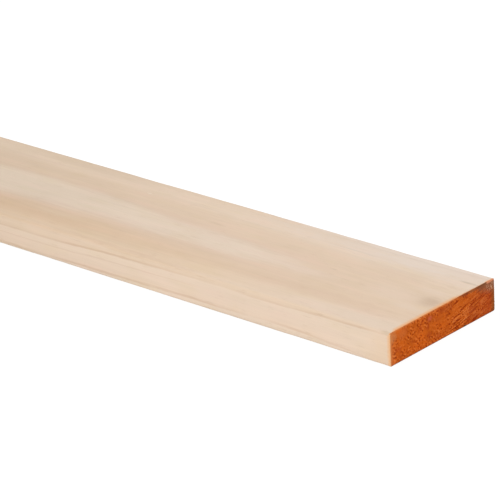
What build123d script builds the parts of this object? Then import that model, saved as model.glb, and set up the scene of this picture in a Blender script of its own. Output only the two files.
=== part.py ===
from build123d import *
import os

# Square-edge softwood plank, nominal 1 x 4 inch, planed on its four long sides and crosscut square.
# Millimetres. X runs along the plank, Y across its width and Z up.
# The origin is in the middle of the underside, so the plank lies on the plane Z = 0.

# Driving dimensions
length = 1219.2      # 4 ft, the crosscut length
width = 88.9         # 3 1/2 in, the dressed width of a nominal 4 in plank
thickness = 19.05    # 3/4 in, the dressed thickness of a nominal 1 in plank
arris_radius = 1.2   # the four long arrises, eased by the planer
end_break = 0.4      # the sawn rims of both ends, sanded just enough to take the splinters off


def dressed_section():
    # The planed cross-section in the YZ plane, centred on Y = 0 and standing on Z = 0
    with BuildSketch(Plane.YZ) as section:
        with Locations((0, thickness / 2)):
            RectangleRounded(width, thickness, arris_radius)
    return section.sketch


def crosscut_plank():
    # The section run out to both ends, then the rim of each sawn end broken
    stock = extrude(dressed_section(), amount=length / 2, both=True)
    sawn_ends = stock.faces().filter_by(Axis.X)
    return chamfer(sawn_ends.edges(), end_break)


plank = crosscut_plank()
plank.label = "plank"

os.makedirs("parts", exist_ok=True)
export_step(plank, "parts/plank.step")
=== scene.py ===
import math
import bmesh
import bpy
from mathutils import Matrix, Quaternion, Vector, noise

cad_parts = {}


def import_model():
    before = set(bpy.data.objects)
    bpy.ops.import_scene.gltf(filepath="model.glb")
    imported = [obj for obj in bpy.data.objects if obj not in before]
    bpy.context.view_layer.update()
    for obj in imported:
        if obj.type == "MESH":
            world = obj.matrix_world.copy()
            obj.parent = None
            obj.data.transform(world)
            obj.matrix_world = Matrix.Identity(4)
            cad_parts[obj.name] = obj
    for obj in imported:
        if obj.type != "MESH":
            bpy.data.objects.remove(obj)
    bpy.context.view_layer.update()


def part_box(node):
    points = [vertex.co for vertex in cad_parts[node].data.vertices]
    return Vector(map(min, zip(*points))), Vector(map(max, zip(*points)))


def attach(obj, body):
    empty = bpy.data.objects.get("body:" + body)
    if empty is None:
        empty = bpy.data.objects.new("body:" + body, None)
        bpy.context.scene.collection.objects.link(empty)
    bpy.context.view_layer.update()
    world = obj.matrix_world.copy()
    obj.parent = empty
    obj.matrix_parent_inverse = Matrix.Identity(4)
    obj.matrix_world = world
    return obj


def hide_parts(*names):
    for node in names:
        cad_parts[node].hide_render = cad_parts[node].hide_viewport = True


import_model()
low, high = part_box("plank")
mm = 0.001
length, width, topZ = [side / mm for side in high - low]
endX = high.x / mm      # the painted end
edgeY = high.y / mm     # half the width; the photograph shows the edge at -edgeY
print("frame loaded, plank", round(length, 2), round(width, 2), round(topZ, 2), "mm")


# Shader maths

class Wire:
    # one output socket of a material, so that + - * / and ** on it add Math nodes

    def __init__(self, socket):
        self.socket = socket

    def node(self, kind, settings=None, sockets=None, output=0):
        # any other node: its type, its settings, then the values or wires of its sockets
        tree = self.socket.id_data
        made = tree.nodes.new(kind)
        for name, value in (settings or {}).items():
            if name == "stops":
                made.color_ramp.elements.remove(made.color_ramp.elements[1])
                for position, colour in value:
                    made.color_ramp.elements.new(position).color = colour
                made.color_ramp.elements.remove(made.color_ramp.elements[0])
            else:
                setattr(made, name, value)
        for name, value in (sockets or {}).items():
            if isinstance(value, Wire):
                tree.links.new(value.socket, made.inputs[name])
            else:
                made.inputs[name].default_value = value
        return Wire(made.outputs[output]) if output is not None else None

    def sibling(self, name):
        # another output of the same node
        return Wire(self.socket.node.outputs[name])

    def calc(self, operation, *values):
        return self.node("ShaderNodeMath", {"operation": operation}, dict(enumerate(values)))

    def __add__(self, other):
        return self.calc("ADD", self, other)

    def __sub__(self, other):
        return self.calc("SUBTRACT", self, other)

    def __rsub__(self, other):
        return self.calc("SUBTRACT", other, self)

    def __mul__(self, other):
        return self.calc("MULTIPLY", self, other)

    def __truediv__(self, other):
        return self.calc("DIVIDE", self, other)

    def __pow__(self, other):
        return self.calc("POWER", self, other)

    def __rpow__(self, other):
        return self.calc("POWER", other, self)

    def __neg__(self):
        return self.calc("MULTIPLY", self, -1.0)

    __radd__ = __add__
    __rmul__ = __mul__

    def ramp(self, bottom, top):
        # 0 under bottom and 1 over top, with a soft start and stop
        sockets = {"Value": self, "From Min": bottom, "From Max": top}
        return self.node("ShaderNodeMapRange", {"interpolation_type": "SMOOTHSTEP"}, sockets)

    def blend(self, other, share, kind="MIX"):
        # this colour with another one mixed in or multiplied on
        settings = {"data_type": "RGBA", "blend_type": kind, "clamp_factor": True}
        return self.node("ShaderNodeMix", settings, {0: share, 6: self, 7: other}, 2)

    def times(self, factor):
        # a colour or vector made stronger or weaker
        return self.node("ShaderNodeVectorMath", {"operation": "SCALE"}, {0: self, "Scale": factor})

    def grain(self, along, across, detail=2.0, roughness=0.5, distortion=0.0):
        # noise on a place in mm, with features about that long and that wide
        stretch = (1 / along, 1 / across, 1 / across)
        place = self.node("ShaderNodeVectorMath", {"operation": "MULTIPLY"}, {0: self, 1: stretch})
        sockets = {"Vector": place, "Scale": 1.0, "Detail": detail, "Roughness": roughness}
        sockets["Distortion"] = distortion
        return place.node("ShaderNodeTexNoise", None, sockets)


def tone(red, green, blue):
    # a colour as a picture editor gives it, 0 to 255, as the light that the shader wants
    shares = [value / 255 for value in (red, green, blue)]
    lights = [share / 12.92 if share < 0.04045 else ((share + 0.055) / 1.055) ** 2.4 for share in shares]
    return (*lights, 1.0)


# Growth of the tree: the same formulas shape the mesh and colour the wood, on numbers or on wires

growth = {
    "pithOver": 51.3,         # height of the pith over the top face,
    "pithOverPlace": 100.0,   # this far from the painted end,
    "pithFall": 0.0070,       # and how much lower it lies for each further mm
    "endRise": 2.5,           # it bends up this much towards the painted end,
    "endRisePlace": 84.0,     # around here
    "endRiseSpan": 12.0,
    "farSway": 4.6,           # beyond the photographed part it swings up and down by this much
    "farSwayFrom": 330.0,     # phase and length of the swing,
    "farSwayLength": 150.0,
    "farSwayPlace": 460.0,    # which comes in around here
    "farSwaySpan": 35.0,
    "pithAcross": -3.2,
    "pithSway": 1.5,          # sideways swing of the pith, with its length and phase
    "pithSwayLength": 55.0,
    "pithSwayPhase": 2.95,
    "nearSide": (-22, 5),     # from here to the edge that the photograph shows, span, the rings bend:
    "bulge": 0.5,             # out by this much,
    "innerBulge": 1.4,        # by this much more inside this radius, span,
    "innerPart": (74, 1.5),
    "bulgeFrom": (236, 12),   # both beyond here, span,
    "dent": 1.9,              # and in around here, span
    "dentPlace": (130, 65),
    "flareRing": (81, 4.5),   # the rings around this radius, span, spread
    "flare": 9.0,             # most at the painted end itself, over this length,
    "flareLength": 28.0,
    "hump": 0.9,              # a little around here, span,
    "humpPlace": (145, 30),
    "rest": 0.4,              # and less beyond here, span
    "restFrom": (120, 8),
    "waver": 0.22,            # every ring wavers by this much, along and across the plank,
    "waverSize": (27, 11),
    "ripple": 0.13,           # and ripples by this much, along, across and up
    "rippleSize": (11.3, 7, 5),
    "lateRings": (34.5, 43.3, 51.8, 60.3, 69.3, 79.0, 88.5),    # radius of each dark line
    "falseRing": 73.1,        # a faint line inside one year's growth
}


def either(operation, plain, value):
    return value.calc(operation, value) if isinstance(value, Wire) else plain(value)


def before(value, place, span):
    # 1 well before the place and 0 well past it, over a few times the span
    return 0.5 - 0.5 * either("TANH", math.tanh, (value - place) / (2 * span))


def hill(value, place, span):
    # 1 at the place and close to 0 two spans away
    offset = (value - place) / span
    return math.e ** (-(offset * offset))


def pithDistance(fromEnd, across, height):
    # the pith runs along the plank, above its top face
    swing = either("SINE", math.sin, (fromEnd - growth["farSwayFrom"]) / growth["farSwayLength"])
    over = growth["pithOver"] - growth["pithFall"] * (fromEnd - growth["pithOverPlace"])
    over = over + growth["endRise"] * before(fromEnd, growth["endRisePlace"], growth["endRiseSpan"])
    swayed = 1 - before(fromEnd, growth["farSwayPlace"], growth["farSwaySpan"])
    over = over + growth["farSway"] * swing * swayed
    phase = fromEnd / growth["pithSwayLength"] + growth["pithSwayPhase"]
    side = across - growth["pithAcross"] - growth["pithSway"] * either("SINE", math.sin, phase)
    drop = over + topZ - height
    return (side * side + drop * drop) ** 0.5


def growthRadius(fromEnd, across, height):
    # the radius at which the wood there grew: its distance from the pith, with the bends of the rings
    radius = pithDistance(fromEnd, across, height)
    bulge = growth["bulge"] + growth["innerBulge"] * before(radius, *growth["innerPart"])
    bulge = bulge * (1 - before(fromEnd, *growth["bulgeFrom"]))
    bulge = bulge - growth["dent"] * hill(fromEnd, *growth["dentPlace"])
    spread = growth["flare"] * math.e ** (fromEnd / -growth["flareLength"])
    spread = spread + growth["hump"] * hill(fromEnd, *growth["humpPlace"])
    spread = spread - growth["rest"] * before(fromEnd, *growth["restFrom"]) + growth["rest"]
    spread = spread * hill(radius, *growth["flareRing"])
    radius = radius - (bulge + spread) * before(across, *growth["nearSide"])
    waverAlong, waverAcross = growth["waverSize"]
    waver = growth["waver"] * either("SINE", math.sin, fromEnd / waverAlong + across / waverAcross)
    rippleAlong, rippleAcross, rippleUp = growth["rippleSize"]
    phase = fromEnd / rippleAlong - across / rippleAcross + height / rippleUp
    return radius + waver + growth["ripple"] * either("SINE", math.sin, phase)


# The plank's mesh

plankCut = {
    "arrisRadius": 1.2,
    "arrisSteps": 4,
    "endBreak": 0.4,
    "acrossStep": 0.8,        # cuts run lengthwise this far apart
    "alongStep": 6.0,         # and crosswise this far apart,
    "endSteps": ((12, 1.0), (30, 2.0)),    # but closer up to these distances from each end
    "softSink": 0.05,         # the planed soft wood lies this much under the hard lines
    "hardLine": (0.3, 0.8),   # how far inside its ring a hard line's middle lies, and half its width
    "fibreSize": (30.0, 1.7),    # length and width of the soft wood's fibres,
    "fibreSink": 0.25,        # and the share of its depth that they bring
    "arrisWear": 0.3,         # the arrises are worn by this much,
    "wearLength": 38.0,       # in dents about this long,
    "chipLength": 9.0,        # with shorter ones in them,
    "chipShare": 0.5,         # which are this much shallower
}
endGrain = {    # a value with a place and a span comes in past that place across, towards the far edge
    "depth": 0.30,            # from the raised fibres down into the torn pits
    "hardLine": (0.4, 0.9),   # how far inside its ring a hard line's middle lies, and half its width
    "hardLineShare": 0.5,     # it is torn by this share less
    "pitSize": 1.15,
    "pitWarp": 0.8,           # the pits are bent by this much, over places of this size
    "pitWarpSize": 2.4,
    "strokeLength": 7.5,      # saw marks, which curve up towards the far edge
    "strokeWidth": 0.72,
    "strokeCurve": 0.0042,
    "strokeShare": (0.75, -2, 7),    # how far they take the place of the pits, place, span
    "fineSize": 0.6,          # fine tearing on both,
    "fineShare": 0.45,
    "fineMore": (0.5, 12, 5),        # how much more of it there is, place, span
    "strength": 0.66,         # how strongly the end is torn,
    "strengthMore": (0.66, -4, 8),   # how much more strongly, place, span,
    "patchiness": 0.45,       # and how unevenly, over patches of this size
    "patchSize": 5.0,
    "nearEdge": (2.4, 0.4),   # the rim of the edge that shows is smooth this far in, span,
    "nearEdgeSmooth": 0.8,    # by this share
    "raise": 0.8,             # height of the raised fibres
    "bite": 0.92,             # and depth of the pits
    "rimFray": 0.45,          # the other rims are frayed by this much,
    "rimWidth": 0.9,          # this far in,
    "rimFraySize": 1.6,       # in tufts of this size
    "thickPaintFill": 0.75,   # share of the grain that thick paint fills,
    "thickPaint": (           # and where it does: across, height, half its width and height
        (-34.5, 15.0, 5.0, 4.5),
        (-2.0, 12.5, 8.0, 2.6),
        (18.5, 15.2, 9.0, 3.4),
        (-14.0, 8.6, 7.0, 2.4),
        (2.0, 8.0, 3.6, 3.0),
        (-31.5, 7.0, 3.4, 1.8),
    ),
}
nick = {                      # broken out of the painted end's bottom rim
    "across": 18.5,
    "width": 3.4,
    "height": 1.3,
    "depth": 0.6,
}


def slicePlank(shape, place, normal):
    everything = shape.verts[:] + shape.edges[:] + shape.faces[:]
    bmesh.ops.bisect_plane(shape, geom=everything, dist=1e-8, plane_co=place, plane_no=normal)


def spacedOut(start, stop, step):
    count = round((stop - start) / step)
    return [start + (stop - start) * index / count for index in range(count + 1)]


def planePlank(shape):
    # a block with rounded long arrises and broken end rims
    bmesh.ops.create_cube(shape, size=1.0)
    bmesh.ops.scale(shape, vec=high - low, verts=shape.verts)
    bmesh.ops.translate(shape, vec=(high + low) / 2, verts=shape.verts)
    arrises = [edge for edge in shape.edges if edge.calc_length() > 0.9 * length * mm]
    bmesh.ops.bevel(shape, geom=arrises, offset=plankCut["arrisRadius"] * mm,
                    segments=plankCut["arrisSteps"], profile=0.5, affect="EDGES", material=-1)
    shape.normal_update()
    rims = [edge for edge in shape.edges if any(abs(face.normal.x) > 0.9 for face in edge.link_faces)]
    bmesh.ops.bevel(shape, geom=rims, offset=plankCut["endBreak"] * mm, segments=1,
                    profile=0.5, affect="EDGES", material=-1)


def cutPlank(shape):
    # lengthwise cuts between the arrises, then crosswise cuts, closer near the ends
    radius, apart = plankCut["arrisRadius"], plankCut["acrossStep"]
    for across in spacedOut(radius - edgeY, edgeY - radius, apart):
        slicePlank(shape, (0, across * mm, 0), (0, 1, 0))
    for height in spacedOut(radius, topZ - radius, apart):
        slicePlank(shape, (0, 0, height * mm), (0, 0, 1))
    reached = plankCut["endBreak"]
    for stop, step in plankCut["endSteps"]:
        for fromEnd in spacedOut(reached, stop, step)[1:]:
            slicePlank(shape, ((endX - fromEnd) * mm, 0, 0), (1, 0, 0))
            slicePlank(shape, ((fromEnd - endX) * mm, 0, 0), (1, 0, 0))
        reached = stop
    middle = [edge for edge in shape.edges if edge.calc_length() > length / 2 * mm]
    cuts = round((length - 2 * reached) / plankCut["alongStep"]) - 1
    bmesh.ops.subdivide_edges(shape, edges=middle, cuts=cuts, use_grid_fill=True)
    # the sawn ends are twice as fine
    shape.normal_update()
    ends = {edge for face in shape.faces if abs(face.normal.x) > 0.9 for edge in face.edges}
    bmesh.ops.subdivide_edges(shape, edges=list(ends), cuts=1, use_grid_fill=True)


finishes = {"planed": 0, "painted": 1, "sawn": 2}


def sortFinishes(shape):
    # an end's finish goes over its broken rim, which keeps a crisp line
    shape.normal_update()
    for face in shape.faces:
        face.smooth = True
        if abs(face.normal.x) > 0.3:
            face.material_index = finishes["painted"] if face.normal.x > 0 else finishes["sawn"]
            for edge in face.edges:
                edge.smooth = edge.calc_face_angle(0.0) < math.radians(30)


bakeSheet = {
    "pixels": 1024,           # side of the map that each finish is baked to,
    "gap": 6,                 # space left round each patch on it,
    "endPixels": 5.5,         # and its pixels for each mm of an end
}


def layOut(shape):
    # the four long faces unroll as one strip over the whole sheet, with the two ends above it
    layer = shape.loops.layers.uv.new("OFBake")
    sheet, gap, scale = bakeSheet["pixels"], bakeSheet["gap"], bakeSheet["endPixels"]
    around = 2 * (width + topZ)
    stripTop = sheet - 2 * gap - topZ * scale
    for face in shape.faces:
        middle = face.calc_center_median() / mm
        for loop in face.loops:
            x, y, z = loop.vert.co / mm
            if face.material_index == finishes["planed"]:
                if face.normal.z < -0.99 or (middle.y < 0 and middle.z < topZ / 2):
                    girth = edgeY - y + z                           # underside, then up the near edge
                elif middle.y < 0 or middle.z > topZ / 2:
                    girth = width + z + edgeY + y if middle.y < 0 else width + topZ + edgeY + y + topZ - z
                else:
                    girth = 2 * width + topZ + topZ - z + edgeY - y    # down the far edge
                along = gap + (x + endX) / length * (sheet - 2 * gap)
                up = gap + (girth - plankCut["arrisRadius"]) / around * (stripTop - 2 * gap)
            else:
                left = gap if face.material_index == finishes["painted"] else sheet / 2 + gap
                along = left + (y + edgeY) * scale
                up = stripTop + gap + z * scale
            loop[layer].uv = (along / sheet, up / sheet)


def wander(*place):
    # smooth noise between -1 and 1
    return noise.noise(Vector(place))


def beyond(value, share, place, span):
    # a share that comes in past the place
    return share * (1 - before(value, place, span))


def hardWood(fromEnd, across, height, inside, halfWidth):
    # 1 on a hard dark line and 0 between two of them
    radius = growthRadius(fromEnd, across, height)
    return max(hill(radius, ring - inside, halfWidth) for ring in growth["lateRings"])


def reliefDepth(fromEnd, across, height):
    # how far under the drawn surface the wood lies there, in mm
    fibreLength, fibreWidth = plankCut["fibreSize"]
    fibre = wander(fromEnd / fibreLength, across / fibreWidth, height / fibreWidth)
    depth = plankCut["softSink"] * (1 - hardWood(fromEnd, across, height, *plankCut["hardLine"]))
    depth *= 1 - plankCut["fibreSink"] + plankCut["fibreSink"] * fibre
    outer = min(edgeY - abs(across), plankCut["arrisRadius"])
    inner = min(height, topZ - height, plankCut["arrisRadius"])
    if outer < plankCut["arrisRadius"] and inner < plankCut["arrisRadius"]:
        # each arris wears in its own way
        side = math.copysign(7, across) + math.copysign(13, height - topZ / 2)
        wear = wander(fromEnd / plankCut["wearLength"], side, 0)
        wear += plankCut["chipShare"] * wander(fromEnd / plankCut["chipLength"], side, 5)
        depth += plankCut["arrisWear"] * max(0.0, wear)
    return depth


def tornGrain(across, height, painted):
    # the relief of a sawn end: 0 on a raised fibre and 1 at the bottom of a torn one
    layer = 0 if painted else 40
    pitSize, fineSize, patchSize = endGrain["pitSize"], endGrain["fineSize"], endGrain["patchSize"]
    warpSize = endGrain["pitWarpSize"]
    warp = endGrain["pitWarp"] * wander(across / warpSize, height / warpSize, layer)
    speck = wander(across / pitSize + warp, height / pitSize - warp, layer + 3)
    offset = across - growth["pithAcross"]
    risen = height - offset * offset * endGrain["strokeCurve"]
    stroke = wander(across / endGrain["strokeLength"], risen / endGrain["strokeWidth"], layer + 7)
    rough = speck + beyond(across, *endGrain["strokeShare"]) * (stroke - speck)
    fine = wander(across / fineSize, height / fineSize, layer + 11)
    fine *= 1 + beyond(across, *endGrain["fineMore"])
    strength = endGrain["strength"] + beyond(across, *endGrain["strengthMore"])
    strength += endGrain["patchiness"] * wander(across / patchSize, height / patchSize, layer + 15)
    smoothWidth, smoothSpan = endGrain["nearEdge"]
    strength *= 1 - endGrain["nearEdgeSmooth"] * before(across, smoothWidth - edgeY, smoothSpan)
    for spotAcross, spotHeight, halfWidth, halfHeight in endGrain["thickPaint"]:
        spot = hill(across, spotAcross, halfWidth) * hill(height, spotHeight, halfHeight)
        strength *= 1 - endGrain["thickPaintFill"] * spot * painted
    bite = (rough + endGrain["fineShare"] * fine) * strength
    bite *= endGrain["bite"] if bite > 0 else endGrain["raise"]
    return min(1.0, max(0.0, 0.5 + bite))


def endDepth(across, height, painted, torn):
    # how far a place on an end lies behind the cut, with the rim frayed and a nick in its bottom edge
    hardness = hardWood(0 if painted else length, across, height, *endGrain["hardLine"])
    depth = endGrain["depth"] * torn * (1 - endGrain["hardLineShare"] * hardness)
    rim = min(edgeY - abs(across), height, topZ - height)
    if rim < endGrain["rimWidth"]:
        size = endGrain["rimFraySize"]
        fray = max(0.0, wander(across / size, height / size, 21 if painted else 34))
        fray = endGrain["rimFray"] * fray * (1 - rim / endGrain["rimWidth"])
        smoothWidth, smoothSpan = endGrain["nearEdge"]
        depth += fray * (1 - before(across, smoothWidth - edgeY, smoothSpan))
    chip = hill(across, nick["across"], nick["width"] / 2) * (1 - min(1, height / nick["height"]))
    return depth + nick["depth"] * chip * painted


def roughen(shape):
    # sink every point a little, and keep the ends' relief for their finishes
    tear = shape.verts.layers.float.new("tear")
    shape.normal_update()
    for vert in shape.verts:
        x, y, z = vert.co / mm
        fromEnd = endX - x
        fromCut = min(fromEnd, length - fromEnd)
        if fromCut < plankCut["endBreak"] + 0.1:
            vert[tear] = tornGrain(y, z, x > 0)
        if fromCut < 0.01:
            vert.co.x -= math.copysign(endDepth(y, z, x > 0, vert[tear]), x) * mm
        else:
            vert.co -= vert.normal * reliefDepth(fromEnd, y, z) * mm
    shape.normal_update()


def makePlank():
    shape = bmesh.new()
    planePlank(shape)
    cutPlank(shape)
    sortFinishes(shape)
    layOut(shape)
    roughen(shape)
    mesh = bpy.data.meshes.new("pinePlank")
    shape.to_mesh(mesh)
    shape.free()
    piece = bpy.data.objects.new("pinePlank", mesh)
    bpy.context.scene.collection.objects.link(piece)
    return piece


pinePlank = makePlank()
print("plank cut,", sum(len(face.vertices) - 2 for face in pinePlank.data.polygons), "triangles")


# Pine

pine = {
    "rings": (                # distance from the pith, colour of the wood there
        (36.0, tone(225, 204, 180)),
        (42.8, tone(222, 197, 171)),
        (44.0, tone(229, 209, 188)),
        (50.6, tone(230, 210, 189)),
        (51.6, tone(229, 207, 186)),
        (52.4, tone(225, 199, 175)),
        (53.8, tone(226, 201, 176)),
        (57.2, tone(227, 202, 177)),
        (60.2, tone(231, 208, 185)),
        (64.5, tone(231, 208, 185)),
        (68.8, tone(229, 205, 180)),
        (69.8, tone(232, 210, 188)),
        (78.4, tone(231, 208, 186)),
        (79.6, tone(231, 210, 189)),
        (88.0, tone(228, 203, 178)),
        (89.5, tone(231, 210, 189)),
    ),
    "lateShade": (0.80, 0.71, 0.63, 1),      # multiplied on at a dark line
    "lateStrength": (0.8, 0.7, 0.15, 0.10, 0.66, 0.60, 0.6),    # of each line, from the pith outwards
    "lateWidth": 0.9,                        # a dark line starts this far inside its ring,
    "duskWidth": 3.2,                        # and a faint darkening of it this far,
    "duskShare": 0.14,                       # by this share
    "paleStretches": (                       # where a line fades: index, from the end, half its length
        (4, 116, 52),
        (5, 92, 14),
        (5, 10, 18),
    ),
    "paleShare": 0.75,                       # and by how much
    "falseStrength": 0.3,                    # of the false ring, which comes in
    "falseFrom": (110, 165),                 # between these places from the end
    "trembles": ((16, 1.4, 3), (7, 0.8, 2), (70, 8, 2)),    # of the lines: length, width, detail
    "trembleReach": (0.6, 0.7, 0.5),         # how far each of them goes in mm,
    "innerTremble": (0.8, 57, 2),            # how much further the first does inside a radius, span
    "unevenSize": (48, 5),                   # the lines come and go over patches this long and wide
    "brownShade": (0.955, 0.915, 0.875, 1),  # on the side of the pith towards the edge that shows
    "warmShade": (0.99, 0.965, 0.92, 1),     # beside the edge that shows
    "nearArrisGrimeAndShade": (0.97, 0.962, 0.945, 1),    # the two long arrises of that edge, partly grime and partly painted shade,
    "farArrisShade": (0.93, 0.96, 0.985, 1),      # and the upper half of the far top one, painted shade where it turns from the light
    "farToneAndShade": (0.90, 0.895, 0.875, 1),     # darker away from the painted end: partly the wood's own tone, partly painted shade where the light falls off
    "farFrom": 130,
    "farTo": 400,
    "fibreSize": (32, 0.42),                 # length and width of the fibres and of broader tones,
    "streakSize": (85, 2.3),
    "cloudSize": (60, 15),
    "flushSize": (22, 7),
    "fibreTone": 0.10,                       # and how much each of them shows
    "streakTone": 0.09,
    "cloudTone": 0.09,
    "flushTone": 0.07,
    "pinker": (1.0, 0.985, 0.995, 1),        # slow changes of hue over the wood
    "yellower": (1.0, 1.0, 0.97, 1),
    "canal": tone(196, 158, 122),            # resin canals
    "canalSize": (9, 0.24),
    "canalShare": 0.35,
    "reliefDepth": 0.09,                     # of the finest relief, which the mesh is too coarse for
    "sawnShade": (0.90, 0.80, 0.67, 1),      # where the saw cut across the fibres
    "poreSize": (40, 0.5),                   # open fibre ends,
    "poreTone": 0.30,                        # how much they show
    "tornShade": 0.25,                        # and how much the torn places do: painted shade in the pits, painted highlight on raised fibres
    "scoring": (5.2, 0.97, 0.24),            # the saw's fine lines: radians per mm, lean across and up
    "scoringTone": 0.02,
    "sawnReliefDepth": 0.15,
    "specular": 0.3,
}
marks = (    # faint tones, a smudge and specks on the top face:
    # from the end, across, half its length, half its width, strength, colour
    (40.0, 40.0, 150.0, 19.0, 0.55, tone(229, 214, 203)),
    (60.0, -26.0, 90.0, 8.0, 0.45, tone(219, 190, 164)),
    (22.0, -38.0, 60.0, 9.0, 0.35, tone(231, 211, 193)),
    (7.5, 0.0, 10.0, 7.5, 0.68, tone(199, 171, 145)),
    (13.0, 1.0, 12.0, 7.0, 0.22, tone(212, 189, 163)),
    (14.0, 12.0, 16.0, 6.0, 0.40, tone(230, 209, 190)),
    (14.0, -12.0, 16.0, 5.0, 0.40, tone(230, 209, 190)),
    (175.0, 15.5, 9.0, 1.8, 0.35, tone(206, 180, 150)),
    (185.0, -42.5, 75.0, 3.5, 0.30, tone(206, 172, 140)),
    (3.0, -43.4, 4.0, 1.7, 0.45, tone(202, 178, 148)),
    (300.0, 40.0, 70.0, 8.0, 0.35, tone(206, 182, 156)),
    (7.0, 30.6, 8.5, 1.6, 0.55, tone(190, 172, 148)),
    (88.0, 30.6, 26.0, 0.9, 0.30, tone(204, 190, 168)),
    (78.0, 4.0, 3.0, 1.0, 0.40, tone(200, 178, 152)),
    (238.0, 27.7, 3.0, 1.0, 0.45, tone(240, 226, 208)),
    (92.0, -6.0, 30.0, 8.0, 0.45, tone(232, 211, 192)),
    (32.0, -3.0, 24.0, 13.0, 0.40, tone(231, 209, 188)),
    (262.0, -25.0, 30.0, 3.5, 0.40, tone(222, 199, 173)),
    (42.0, 20.0, 36.0, 6.0, 0.35, tone(219, 194, 169)),
    (45.0, 36.0, 34.0, 8.0, 0.40, tone(233, 217, 203)),
    (212.0, -34.0, 50.0, 11.0, 0.32, tone(213, 189, 158)),
)


endPaint = {
    "orange": tone(202, 94, 19),
    "bright": tone(228, 126, 58),       # raised fibres, where the paint lies thinner, with a painted highlight
    "deep": tone(142, 44, 0),           # torn pits, where the paint lies thicker, with painted shade; also the dark lines and a painted shadow along the bottom rim
    "red": tone(176, 66, 22),           # towards the far edge
    "thinPaintAndHighlight": tone(222, 154, 98),         # thin paint where the rim shows through, and a painted highlight on the top rim
    "bareRim": tone(238, 190, 142),     # the near corner, which the roller missed
    "seep": tone(236, 186, 138),        # paint drawn a little way into the edge
    "film": tone(238, 174, 116),        # and over the top rim,
    "filmReach": (0.5, 3.8),            # thinning out between these places from the end
    "dirt": tone(138, 88, 58),          # the far top corner,
    "dirtReach": (14.0, 6.5),           # this far across and down
    "dust": tone(216, 172, 142),
    "tip": tone(228, 150, 112),         # that corner's own tip, scuffed pale
    "olive": tone(130, 80, 34),         # down the far edge, and as painted shadow along the bottom rim
    "rimShadow": tone(112, 74, 48),          # painted shadow: a dark line along the far half of the top rim
    "gap": tone(72, 34, 16),            # painted shade in the nick
    "fineSize": 0.42,                   # sizes of the paint's texture
    "speckSize": 1.2,
    "clumpSize": 5.0,
    "cloudSize": 11.0,
    "clumpTone": 0.36,                  # how much lighter and darker it gets over the near half
    "cloudTone": 0.40,
    "reliefDepth": 0.15,
    "specular": 0.05,
}
blots = (    # on the painted end: across, height, half its width, half its height, strength, colour
    (-10.5, 15.4, 5.0, 2.8, 0.45, tone(150, 58, 22)),
    (-11.0, 15.6, 2.2, 1.5, 0.60, tone(208, 100, 70)),
    (2.0, 16.2, 9.0, 2.6, 0.45, tone(152, 58, 20)),
    (-4.0, 13.0, 5.0, 2.4, 0.25, tone(158, 66, 24)),
    (-34.0, 15.5, 5.0, 4.0, 0.30, tone(214, 118, 62)),
    (-41.5, 16.0, 4.0, 4.0, 0.35, tone(214, 148, 92)),
    (24.0, 7.6, 5.5, 2.4, 0.35, tone(202, 98, 40)),
    (25.0, 3.6, 5.5, 2.2, 0.40, tone(152, 56, 12)),
)


def startMaterial(name):
    # a new material and the place that it colours, in mm: its vector, from the painted end, across and up
    made = bpy.data.materials.new(name)
    made.use_nodes = True
    made.node_tree.nodes.clear()
    place = Wire(made.node_tree.nodes.new("ShaderNodeTexCoord").outputs["Object"]).times(1 / mm)
    x = place.node("ShaderNodeSeparateXYZ", None, {0: place})
    return made, place, endX - x, x.sibling("Y"), x.sibling("Z")


def finishMaterial(colour, roughness, relief, depth, specular):
    # the relief goes from 0 to 1 and is that many mm deep
    bump = relief.node("ShaderNodeBump", None, {"Height": relief, "Distance": depth * mm})
    sockets = {"Base Color": colour, "Roughness": roughness, "Normal": bump}
    sockets["Specular IOR Level"] = specular
    shader = colour.node("ShaderNodeBsdfPrincipled", None, sockets)
    shader.node("ShaderNodeOutputMaterial", None, {"Surface": shader}, None)


def tornDepth(place):
    # the ends' relief, as the mesh keeps it
    return place.node("ShaderNodeAttribute", {"attribute_name": "tear"}, None, 2)


def spotReach(along, across, halfLength, halfWidth):
    # 0 in the middle of an oval spot and 1 at its rim
    along = along / halfLength
    across = across / halfWidth
    return (along * along + across * across) ** 0.5


def woodRings(place, fromEnd, across, height):
    # the radius with a fine tremble on it, and how dark the late wood is
    radius = growthRadius(fromEnd, across, height)
    reaches = list(pine["trembleReach"])
    moreInside, innerRadius, innerSpan = pine["innerTremble"]
    reaches[0] = reaches[0] + moreInside * before(radius, innerRadius, innerSpan)
    for size, reach in zip(pine["trembles"], reaches):
        radius = radius + (place.grain(*size) - 0.5) * reach
    uneven = place.grain(*pine["unevenSize"]).ramp(0.30, 0.56) * 0.75 + 0.25
    late = pine["falseStrength"] * hill(radius, growth["falseRing"], 0.35)
    late = late * fromEnd.ramp(*pine["falseFrom"])
    strengths = [strength * uneven for strength in pine["lateStrength"]]
    for index, fromHere, span in pine["paleStretches"]:
        strengths[index] = strengths[index] * (1 - pine["paleShare"] * hill(fromEnd, fromHere, span))
    for ring, strength in zip(growth["lateRings"], strengths):
        dusk = pine["duskShare"] * radius.ramp(ring - pine["duskWidth"], ring - 0.7)
        dusk = dusk + (1 - pine["duskShare"]) * radius.ramp(ring - pine["lateWidth"], ring - 0.15)
        late = late + dusk * (1 - radius.ramp(ring + 0.1, ring + 0.6)) * strength
    return radius, late


def ringColour(radius):
    first, last = pine["rings"][0][0], pine["rings"][-1][0]
    stops = [((ring - first) / (last - first), colour) for ring, colour in pine["rings"]]
    return radius.node("ShaderNodeValToRGB", {"stops": stops}, {0: (radius - first) / (last - first)})


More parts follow.
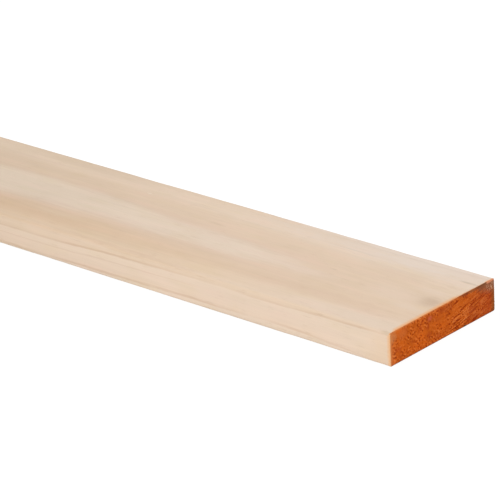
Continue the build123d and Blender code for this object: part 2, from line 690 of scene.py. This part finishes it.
def pineColour(place, fromEnd, across, radius, late):
    # broad tones first, then lines
    colour = ringColour(radius)
    brown = radius.ramp(51.8, 54.0) * (1 - 0.4 * radius.ramp(59.8, 61.5)) * (1 - radius.ramp(62.5, 68.0))
    brown = brown * before(across, -11, 4) * (0.2 + 0.65 * fromEnd.ramp(90, 260))
    colour = colour.blend(pine["brownShade"], brown, "MULTIPLY")
    warm = before(across, -25, 2.5) * fromEnd.ramp(50, 150) * (1 - radius.ramp(63.5, 66.5))
    colour = colour.blend(pine["warmShade"], warm, "MULTIPLY")
    # darker away from the painted end: partly wood tone, partly painted shade where the light falls off
    drift = fromEnd.ramp(pine["farFrom"], pine["farTo"]) * (0.8 + 0.4 * place.grain(240, 60, 1))
    colour = colour.blend(pine["farToneAndShade"], drift, "MULTIPLY")
    return colour.blend(pine["lateShade"], late, "MULTIPLY")


def shadeArrises(colour, across, height):
    # the near edge's two long arrises: partly grime, partly painted shade that dulls their highlight
    onEdge = ((across * across) ** 0.5).ramp(edgeY - 1.7, edgeY - 0.6)
    onArris = onEdge * (height.ramp(topZ - 1.7, topZ - 0.6) + 1 - height.ramp(0.2, 1.1))
    colour = colour.blend(pine["nearArrisGrimeAndShade"], onArris * (1 - across.ramp(-1, 1)), "MULTIPLY")
    # painted shade on the upper half of the far top arris, which turns from the light
    onFarArris = across.ramp(edgeY - 1.5, edgeY - 0.7) * height.ramp(topZ - 0.75, topZ - 0.3)
    return colour.blend(pine["farArrisShade"], onFarArris, "MULTIPLY")


def paintOverRim(colour, place, fromEnd, across, onTop):
    # the paint is drawn a little way over the painted end's rim, with a painted shadow along its far half
    frayed = fromEnd + (place.grain(2.6, 1.3, 2) - 0.5) * 1.6
    seep = 0.8 * (1 - frayed.ramp(0.3, 2.6)) + 0.14 * (1 - frayed.ramp(3, 20))
    colour = colour.blend(endPaint["seep"], seep * (1 - onTop))
    reach = frayed * (1 + 1.8 * across.ramp(8, 26) + 3.0 * before(across, -41, 0.7))
    colour = colour.blend(endPaint["film"], (1 - reach.ramp(*endPaint["filmReach"])) * 0.9 * onTop)
    colour = colour.blend(endPaint["thinPaintAndHighlight"], (1 - reach.ramp(0.2, 1.4)) * 0.9 * onTop)
    # painted shadow on the top face along the far half of the rim
    shadow = (1 - frayed.ramp(0.1, 1.6)) * across.ramp(4, 16) * (1 - across.ramp(30, 37))
    return colour.blend(endPaint["rimShadow"], shadow * 0.25 * onTop)


def planedPine():
    made, place, fromEnd, across, height = startMaterial("planedPine")
    radius, late = woodRings(place, fromEnd, across, height)
    colour = pineColour(place, fromEnd, across, radius, late)
    fibre = place.grain(*pine["fibreSize"], 3, 0.6)
    streak = place.grain(*pine["streakSize"], 2)
    cloud = place.grain(*pine["cloudSize"], 2)
    flush = place.grain(*pine["flushSize"], 1)
    mottle = pine["streakTone"] * (streak - 0.5) + pine["cloudTone"] * (cloud - 0.5)
    mottle = mottle + pine["flushTone"] * (flush - 0.5)
    colour = colour.times(1 + pine["fibreTone"] * (fibre - 0.5) + mottle)
    colour = colour.blend(pine["pinker"], flush.ramp(0.5, 0.75), "MULTIPLY")
    colour = colour.blend(pine["yellower"], 1 - flush.ramp(0.25, 0.5), "MULTIPLY")
    colour = shadeArrises(colour, across, height)
    canal = place.grain(*pine["canalSize"], 0).ramp(0.76, 0.81)
    colour = colour.blend(pine["canal"], canal * pine["canalShare"])
    onTop = height.ramp(topZ - 1.6, topZ - 0.8)
    ragged = place.grain(9, 1.8, 2) * 0.8 - 0.4
    for markFromEnd, markAcross, halfLength, halfWidth, strength, markTone in marks:
        reach = spotReach(fromEnd - markFromEnd, across - markAcross, halfLength, halfWidth) + ragged
        colour = colour.blend(markTone, (1 - reach.ramp(0.1, 1.05)) * strength * onTop)
    colour = paintOverRim(colour, place, fromEnd, across, onTop)
    relief = 0.55 * fibre + 0.25 * streak + 0.3 * late - 0.5 * canal
    roughness = 0.66 - 0.14 * late - 0.12 * (fibre - 0.5)
    finishMaterial(colour, roughness, relief, pine["reliefDepth"], pine["specular"])
    return made


def sawnEnd():
    # end grain: darker than the planed faces, with open fibre ends and the saw's fine lines
    made, place, fromEnd, across, height = startMaterial("sawnEnd")
    radius, late = woodRings(place, fromEnd, across, height)
    colour = pineColour(place, fromEnd, across, radius, late)
    colour = colour.blend(pine["sawnShade"], 1.0, "MULTIPLY")
    pores = place.grain(*pine["poreSize"], 3, 0.65)
    torn = tornDepth(place)
    # torn pits painted darker and raised fibres lighter: painted shade and highlight
    colour = colour.times(1 + pine["poreTone"] * (pores - 0.5) + pine["tornShade"] * (0.5 - torn))
    pitch, leanAcross, leanUp = pine["scoring"]
    lines = (across * leanAcross + height * leanUp) * pitch + 3 * place.grain(40, 12)
    scoring = either("SINE", math.sin, lines)
    colour = colour.times(1 + pine["scoringTone"] * scoring)
    relief = 0.6 * pores + 0.12 * scoring + 0.4 * late
    finishMaterial(colour, 0.85 - 0.1 * late, relief, pine["sawnReliefDepth"], pine["specular"])
    return made


def paintedEnd():
    made, place, fromEnd, across, height = startMaterial("paintedEnd")
    radius, late = woodRings(place, fromEnd, across, height)
    torn = tornDepth(place)
    fine = place.grain(60, endPaint["fineSize"], 2)
    speck = place.grain(60, endPaint["speckSize"], 2, 0.6, 1.4)
    clump = place.grain(60, endPaint["clumpSize"], 2)
    cloud = place.grain(60, endPaint["cloudSize"], 1)
    rough = torn + (fine - 0.5) * 0.4
    # pits darker and raised fibres lighter: partly the paint's thickness, partly painted shade and
    # highlight
    colour = torn.node("ShaderNodeMix", {"data_type": "RGBA"},
                       {0: rough.ramp(0.52, 0.82), 6: endPaint["orange"], 7: endPaint["deep"]}, 2)
    colour = colour.blend(endPaint["bright"], (1 - rough.ramp(0.20, 0.47)) * 0.9)
    cloudy = endPaint["cloudTone"] * (cloud - 0.5) + endPaint["clumpTone"] * (clump - 0.5)
    colour = colour.times(1 + cloudy * (1 - across.ramp(0, 16)))
    colour = colour.blend(endPaint["red"], across.ramp(14, 44) * 0.6 + (1 - clump.ramp(0.30, 0.44)) * 0.4)
    colour = colour.times(1 - 0.04 * across.ramp(2, 30))
    # the dark lines, and a painted shadow along the bottom rim
    colour = colour.blend(endPaint["deep"], late * 0.25 + (1 - (height + speck * 2).ramp(0.9, 2.4)) * 0.4)
    colour = colour.blend(endPaint["olive"], (1 - (height + speck * 1.2).ramp(0.8, 1.7)) * 0.5)
    wobble = (speck - 0.5) * 0.8 + (fine - 0.5) * 0.8
    for blotAcross, blotHeight, halfWidth, halfHeight, strength, blotTone in blots:
        reach = spotReach(across - blotAcross, height - blotHeight, halfWidth, halfHeight) + wobble
        colour = colour.blend(blotTone, (1 - reach.ramp(0.3, 1.1)) * strength)
    # dirt with pale dust on it in the far top corner, and darker down the far edge
    corner = spotReach(across - edgeY + 2, height - topZ + 0.5, *endPaint["dirtReach"])
    corner = corner + (clump - 0.5) * 1.0 + (speck - 0.5) * 1.2
    dirt = 1 - corner.ramp(0.45, 1.15)
    colour = colour.blend(endPaint["olive"], (across + speck * 4).ramp(edgeY - 2.4, edgeY + 1.0) * 0.7)
    colour = colour.blend(endPaint["dirt"], dirt * 0.8)
    dusty = speck.ramp(0.50, 0.60) * hill(across, edgeY - 3.5, 4.0) * height.ramp(11, 15)
    colour = colour.blend(endPaint["dust"], dusty * 0.7)
    # the paint thins out on the top rim, with a painted highlight on its near half and a painted shadow
    # under its far half, and stops before the near corner
    ragged = (speck - 0.5) * 2.2 + (clump - 0.5) * 1.2
    raggedHeight = height + ragged * 0.5
    # thin paint and a painted highlight on the near half of the top rim
    rim = raggedHeight.ramp(topZ - 1.2, topZ + 0.2) * (1 - across.ramp(6, 18))
    colour = colour.blend(endPaint["thinPaintAndHighlight"], rim * 0.35)
    # painted shadow under the far half of the top rim
    shadow = raggedHeight.ramp(topZ - 1.9, topZ - 0.7) * across.ramp(6, 26)
    colour = colour.blend(endPaint["rimShadow"], shadow * 0.62)
    tip = (height + ragged * 0.4).ramp(topZ - 1.7, topZ - 0.7)
    tip = tip * (across + ragged).ramp(edgeY - 7.5, edgeY - 5.5)
    colour = colour.blend(endPaint["tip"], tip * 0.85)
    fromCorner = across + edgeY + ragged * 0.3
    thinning = -fromCorner.calc("MAXIMUM", fromCorner, 0.0) / 1.25
    colour = colour.blend(endPaint["thinPaintAndHighlight"], math.e ** thinning)
    colour = colour.blend(endPaint["bareRim"], 1 - fromCorner.ramp(0.1, 0.8))
    # painted shade in the nick broken out of the bottom rim
    chip = hill(across, nick["across"], nick["width"] / 2) * (1 - height.ramp(0, nick["height"]))
    colour = colour.blend(endPaint["gap"], chip.ramp(0.2, 0.7))
    roughness = 0.6 + 0.2 * torn + 0.15 * dirt
    finishMaterial(colour, roughness, 1 - rough, endPaint["reliefDepth"], endPaint["specular"])
    return made


for makeFinish in (planedPine, paintedEnd, sawnEnd):
    pinePlank.data.materials.append(makeFinish())
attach(pinePlank, "root")
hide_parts("plank")
print("finishes made")


# Floor, light and camera

studio = {
    "floorSize": 60.0,            # metres
    "floorBounce": (0.84, 0.84, 0.84, 1),    # how the floor lights the plank from below
    "floorShowsShadow": 0.20,     # share of the floor that looks lit, the rest looks plain white
    "floorWhite": 1.08,
    "daylight": 0.80,             # strength of the even light from all round
    "lampPlace": (2.5, -3.6, 3.4),
    "lampSize": 2.4,
    "lampPower": 82.0,
}
photoView = {
    "lens": 3038.0,                       # in pixels of the photograph, which is this wide:
    "pixels": 500,
    "place": (918.8, -1136.5, 668.4),     # mm from the middle of the painted end's bottom rim
    "heading": 132.863,                   # degrees from +X towards +Y
    "dip": 22.764,
    "roll": -3.126,
}
white = (1, 1, 1, 1)


def showsWhite(tree):
    # 1 for what the camera sees, directly, in a reflection or through glass
    seen = Wire(tree.nodes.new("ShaderNodeLightPath").outputs["Is Camera Ray"])
    shown = seen.calc("MAXIMUM", seen, seen.sibling("Is Glossy Ray"))
    return shown.calc("MAXIMUM", shown, seen.sibling("Is Transmission Ray"))


def makeFloor():
    sheet = bmesh.new()
    bmesh.ops.create_grid(sheet, x_segments=1, y_segments=1, size=studio["floorSize"] / 2)
    mesh = bpy.data.meshes.new("floor")
    sheet.to_mesh(mesh)
    sheet.free()
    floor = bpy.data.objects.new("floor", mesh)
    bpy.context.scene.collection.objects.link(floor)
    made = bpy.data.materials.new("floorWhite")
    made.use_nodes = True
    made.node_tree.nodes.clear()
    shows = showsWhite(made.node_tree)
    bounce = shows.node("ShaderNodeBsdfDiffuse", None, {"Color": studio["floorBounce"]})
    lit = shows.node("ShaderNodeBsdfDiffuse", None, {"Color": white})
    plain = shows.node("ShaderNodeEmission", None, {"Color": white, "Strength": studio["floorWhite"]})
    shown = shows.node("ShaderNodeMixShader", None, {0: 1 - studio["floorShowsShadow"], 1: lit, 2: plain})
    shader = shows.node("ShaderNodeMixShader", None, {0: shows, 1: bounce, 2: shown})
    shader.node("ShaderNodeOutputMaterial", None, {"Surface": shader}, None)
    mesh.materials.append(made)


def makeDaylight():
    world = bpy.data.worlds.new("daylight")
    world.use_nodes = True
    world.node_tree.nodes.clear()
    shows = showsWhite(world.node_tree)
    strength = studio["daylight"] + shows * (1 - studio["daylight"])
    light = shows.node("ShaderNodeBackground", None, {"Color": white, "Strength": strength})
    light.node("ShaderNodeOutputWorld", None, {"Surface": light}, None)
    bpy.context.scene.world = world


def makeLamp():
    lamp = bpy.data.lights.new("softbox", "AREA")
    lamp.shape = "DISK"
    lamp.size = studio["lampSize"]
    lamp.energy = studio["lampPower"]
    softbox = bpy.data.objects.new("softbox", lamp)
    softbox.location = studio["lampPlace"]
    softbox.rotation_mode = "QUATERNION"
    softbox.rotation_quaternion = (-softbox.location).to_track_quat("-Z", "Y")
    bpy.context.scene.collection.objects.link(softbox)


def makeCamera():
    camera = bpy.data.objects.new("photoCamera", bpy.data.cameras.new("photoCamera"))
    camera.data.lens = photoView["lens"] / photoView["pixels"] * camera.data.sensor_width
    camera.location = (Vector(photoView["place"]) + Vector((endX, 0, 0))) * mm
    heading, dip = math.radians(photoView["heading"]), math.radians(photoView["dip"])
    level = math.cos(dip)
    forward = Vector((math.cos(heading) * level, math.sin(heading) * level, -math.sin(dip)))
    roll = Quaternion((0, 0, 1), math.radians(photoView["roll"]))
    camera.rotation_mode = "QUATERNION"
    camera.rotation_quaternion = forward.to_track_quat("-Z", "Y") @ roll
    bpy.context.scene.collection.objects.link(camera)
    bpy.context.scene.camera = camera


makeFloor()
makeDaylight()
makeLamp()
makeCamera()
bpy.context.scene.view_settings.view_transform = "Standard"
print("stage set")
